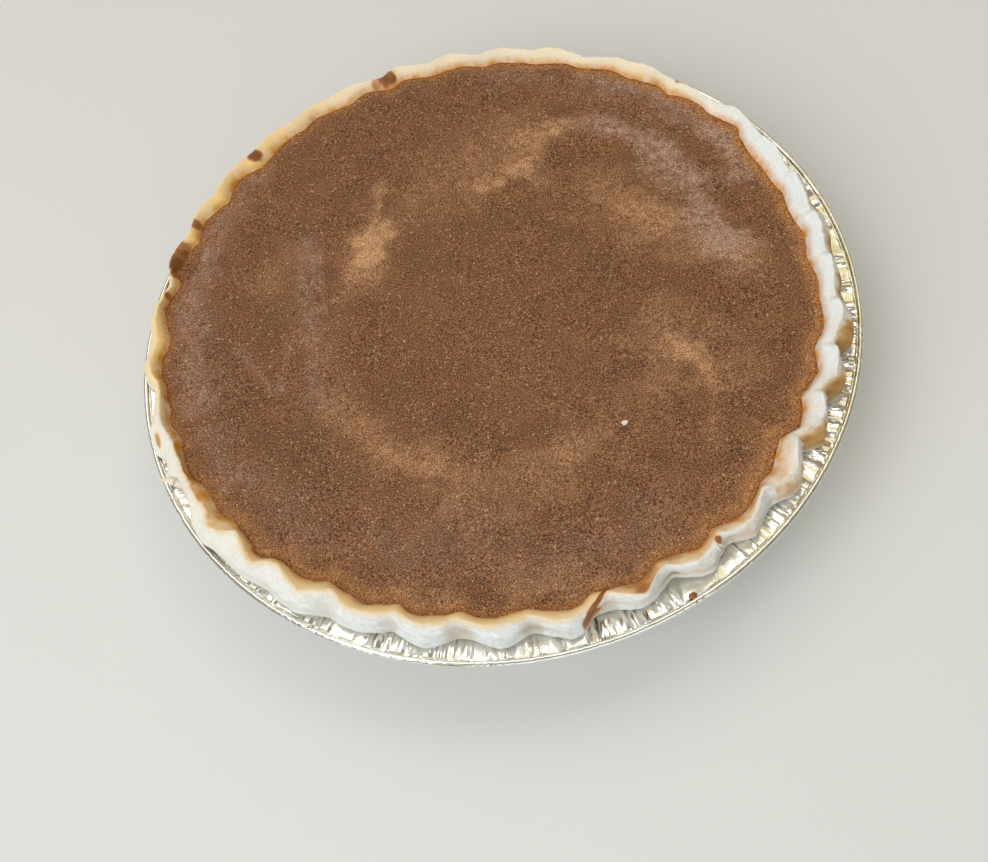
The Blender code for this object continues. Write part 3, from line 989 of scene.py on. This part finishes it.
# The white is bluish: flour on the dough, with the cool tint of painted light from the front.
white = mixed(tree, flour, colour(225, 230, 229), colour(242, 246, 248))
fibre_share = between(tree, painted(tree, "fibres"), 0.5, 0)
white = mixed(tree, fibre_share, white, colour(186, 172, 150))
tone = mixed(tree, painted(tree, "floury"), tone, white)
tone = mixed(tree, painted(tree, "shade"), tone, colour(184, 168, 144))
tan_share = times(tree, painted(tree, "tan"), between(tree, blotches, 0.55, 1.0))
tone = mixed(tree, tan_share, tone, colour(254, 210, 130))
golden_share = times(tree, painted(tree, "golden"), between(tree, blotches, 0.8, 1.0))
# Painted light and shade on the golden slope: lighter on the inner side, which faces away from the lamps,
# and darker at the crest, which faces the window.
gold = mixed(tree, painted(tree, "inner"), colour(226, 190, 132), colour(255, 220, 158))
tone = mixed(tree, golden_share, tone, gold)
# Toasted lobes: real browning, with painted shade at their low ends and in the hollows.
toasted_share = times(tree, painted(tree, "toasted"), between(tree, blotches, 0.7, 1.1))
faint, full = colour(222, 182, 124), colour(150, 108, 56)
tone = browned(tree, tone, toasted_share, faint, full, reach=1.6, low=-0.35)
orange_share = times(tree, painted(tree, "orange"), between(tree, blotches, 0.4, 1.1))
tone = mixed(tree, orange_share, tone, colour(207, 140, 56))
brown_share = times(tree, painted(tree, "brown"), between(tree, blotches, 0.8, 1.2))
faint, full = colour(206, 144, 86), colour(134, 84, 46)
tone = browned(tree, tone, brown_share, faint, full, reach=1.8, low=-0.3)
crumbly = bump(tree, grain_of(tree, 0.8 * MM, detail=4, seed=7.0), 0.3, 0.12 * MM)
matt = between(tree, brown_share, 0.65, 0.35)
connect(shader, {"Base Color": tone, "Roughness": matt, "Normal": crumbly})

# %% [markdown]
# ### Custard skin
#
# A baked skin is brown in layers, so the finish is built up the same way: a soft mottling
# and slow drifts first, then the painted marks, and last the grain, which is made of fine
# dots, small clumps, rare dark pits and rare pale flecks. The dots also lift the surface
# a little, so that the grain takes the light.

# %% Custard finish
skin_finish, shader, tree = new_finish("custard_skin", roughness=0.55, specular=0.2)
mottle = grain_of(tree, 8 * MM, detail=8, low=0.35, high=0.65, seed=1.0)
drifts = grain_of(tree, 24 * MM, detail=3, low=0.35, high=0.65, seed=31.0)
streaks = grain_of(tree, 2.4 * MM, detail=6, low=0.34, high=0.66, seed=6.0)
clumps = grain_of(tree, 1.4 * MM, detail=4, low=0.32, high=0.68, seed=14.0)
dots = grain_of(tree, 0.42 * MM, detail=3, low=0.38, high=0.62, seed=4.0)
pits = grain_of(tree, 0.9 * MM, detail=2, low=0.66, high=0.72, seed=8.0)
flecks = grain_of(tree, 0.7 * MM, detail=1, low=0.66, high=0.74, seed=11.0)
tone = mixed(tree, mottle, colour(96, 58, 31), colour(137, 85, 51))
tone = mixed(tree, times(tree, drifts, 0.3), tone, colour(116, 80, 52))
for name, strength, mark in (
    ("red", 0.7, colour(146, 88, 60)),
    ("dark", 0.9, colour(99, 62, 35)),
    # Partly paler skin, partly a painted highlight on the wrinkles.
    ("light", between(tree, streaks, 0.67, 2.0), colour(240, 184, 134)),
    # A painted reflection of the window, not a colour of the skin.
    ("grey", between(tree, streaks, 0.3, 1.2), colour(200, 170, 155)),
    ("halo", between(tree, streaks, 0.5, 1.1), colour(204, 144, 82)),
    ("rim_line", 0.8, colour(166, 98, 34)),
    ("amber", 0.85, colour(206, 134, 48)),
):
    tone = mixed(tree, times(tree, painted(tree, name), strength), tone, mark)
darker = mixed(tree, 1.0, tone, colour(162, 148, 134), "MULTIPLY")
lighter = mixed(tree, 0.36, tone, colour(212, 156, 114))
tone = mixed(tree, dots, darker, lighter)
tone = mixed(tree, times(tree, clumps, 0.18), tone, colour(90, 54, 32))
tone = mixed(tree, times(tree, pits, 0.8), tone, colour(54, 34, 20))
tone = mixed(tree, times(tree, flecks, 0.6), tone, colour(228, 182, 146))
pitted = bump(tree, dots, 0.5, 0.1 * MM)
connect(shader, {"Base Color": tone, "Normal": pitted})

# %% [markdown]
# ## Crumb, drop and burrs
#
# Small things give the scale: an off-white crumb on the custard, a drop of custard that
# ran onto the flange, and thin burrs of dough that stick out where the rim was pinched.
# The first two start from a sphere, made lumpy, squashed and set down on the surface
# below. The burrs are cones, cut across a few times so that they can be bent a little.

# %% Set a small lump down on a surface
def set_down(name, surface, place, size, turn=0.0, lumpy=0.35):
    """A lump of this length, width and height in mm, lying on the surface at the place."""
    above = Vector((place[0] * MM, place[1] * MM, 60 * MM))
    spot = surface.ray_cast(above, Vector((0, 0, -1)))[1]
    start_clean()
    bpy.ops.mesh.primitive_ico_sphere_add(subdivisions=4, radius=0.5)
    lump = bpy.context.object
    lump.name = lump.data.name = name
    points = points_of(lump)
    points *= 1 + lumpy * lumps(points, 0.45, seed=place[0])[:, None]
    move_points(lump, points)
    lump.scale = [length * MM for length in size]
    lump.rotation_euler.z = math.radians(turn)
    lump.location = spot + Vector((0, 0, 0.3 * size[2] * MM))
    bpy.ops.object.transform_apply(location=True, rotation=True, scale=True)
    bpy.ops.object.shade_smooth()
    return lump


crumb = set_down("crumb", custard, (29.7, -50.9), (2.2, 1.4, 1.1), turn=15)
drop = set_down("custard_drop", tin, (34.1, -103.0), (2.4, 1.8, 1.0), turn=20, lumpy=0.12)

# %% Draw out the burrs
BURRS = (
    ((-100.6, -34.6, 35.6), (-105.5, -32.6, 35.9), 1.3),
    ((42.2, -93.2, 37.4), (43.4, -96.2, 38.2), 0.5),
    ((43.0, -93.4, 37.0), (44.8, -95.2, 37.8), 0.4),
    ((41.6, -93.4, 37.2), (41.4, -95.8, 37.6), 0.4),
)


def draw_out(foot, tip, width):
    """A bent thorn from its foot to its tip, with the half width of its foot, in mm."""
    foot, tip = Vector(foot) * MM, Vector(tip) * MM
    size = {"radius1": width * MM, "radius2": 0.06 * MM, "depth": (tip - foot).length}
    start_clean()
    bpy.ops.mesh.primitive_cone_add(vertices=20, **size)
    thorn = bpy.context.object
    bpy.ops.object.mode_set(mode="EDIT")
    bpy.ops.mesh.select_all(action="SELECT")
    bpy.ops.mesh.subdivide(number_cuts=3)
    bpy.ops.object.mode_set(mode="OBJECT")
    thorn.scale.x = 0.45
    thorn.rotation_euler = (tip - foot).to_track_quat("Z", "X").to_euler()
    thorn.location = (foot + tip) / 2
    bpy.ops.object.transform_apply(location=True, rotation=True, scale=True)
    points = points_of(thorn)
    points += (0.25 * lumps(points, 1.6 * MM, seed=3.0) * MM)[:, None]
    move_points(thorn, points)
    bpy.ops.object.shade_smooth()
    return thorn


thorns = [draw_out(*burr) for burr in BURRS]
start_clean()
for thorn in thorns:
    thorn.select_set(True)
bpy.context.view_layer.objects.active = thorns[0]
bpy.ops.object.join()
burrs = bpy.context.object
burrs.name = burrs.data.name = "pastry_burrs"
print("burrs:", len(BURRS))

# %% Finishes of the small pieces
crumb_finish, shader, tree = new_finish("crumb", roughness=0.8, specular=0.2)
tone = mixed(tree, grain_of(tree, 0.4 * MM), colour(214, 198, 172), colour(244, 236, 220))
rough = bump(tree, grain_of(tree, 0.3 * MM, seed=2.0), 0.5, 0.1 * MM)
connect(shader, {"Base Color": tone, "Normal": rough})
drop_finish, shader, tree = new_finish("custard_drop", roughness=0.25, specular=0.5)
tone = mixed(tree, grain_of(tree, 0.5 * MM), colour(128, 76, 30), colour(156, 98, 44))
connect(shader, {"Base Color": tone})

# %% Dress the pieces
for piece, slot, material in (
    (tin, "foil", foil),
    (pastry, "pastry", dough_finish),
    (custard, "custard", skin_finish),
    (crumb, "pastry", crumb_finish),
    (drop, "custard", drop_finish),
    (burrs, "pastry", dough_finish),
):
    piece.data.materials.clear()
    piece.data.materials.append(material)
    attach(piece, "root")
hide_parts("tin")
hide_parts("crust")
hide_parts("filling")

# %% [markdown]
# ## Floor and light
#
# A plain pale floor, one large soft light from above and the left like a window, and
# weaker ones so that the shadows stay open. The foil mirrors all of them.

# %% Floor, lights and sky
start_clean()
bpy.ops.mesh.primitive_plane_add(size=4)
floor = bpy.context.object
floor.name = "floor"
floor_finish, shader, tree = new_finish("floor", roughness=0.7)
shader.inputs["Base Color"].default_value = colour(222, 220, 216)
floor.data.materials.append(floor_finish)


def soft_light(name, place, size, power, tint):
    data = bpy.data.lights.new(name, "AREA")
    data.shape = "DISK"
    data.size = size
    data.energy = power
    data.color = tint
    light = bpy.data.objects.new(name, data)
    light.location = place
    away = Vector(place) - Vector((0, 0, 0.03))
    light.rotation_euler = away.to_track_quat("Z", "Y").to_euler()
    bpy.context.scene.collection.objects.link(light)


soft_light("window", (-0.9, -0.75, 1.0), 1.2, 12.7, (0.9, 0.96, 1.0))
soft_light("ceiling", (-0.45, 0.55, 1.45), 1.5, 6.2, (0.98, 0.98, 1.0))
soft_light("front", (0.15, -1.2, 0.8), 1.6, 5.6, (0.8, 0.9, 1.0))
soft_light("warm_wall", (0.7, 1.25, 1.75), 1.3, 2.7, (1.0, 0.85, 0.4))
soft_light("lamp", (0.65, 0.34, 1.5), 0.6, 2.2, (1.0, 0.98, 0.92))

world = bpy.data.worlds.new("sky")
bpy.context.scene.world = world
world.use_nodes = True
world.node_tree.nodes["Background"].inputs["Color"].default_value = (1.0, 0.94, 0.82, 1)
world.node_tree.nodes["Background"].inputs["Strength"].default_value = 0.3
bpy.context.scene.view_settings.view_transform = "Standard"
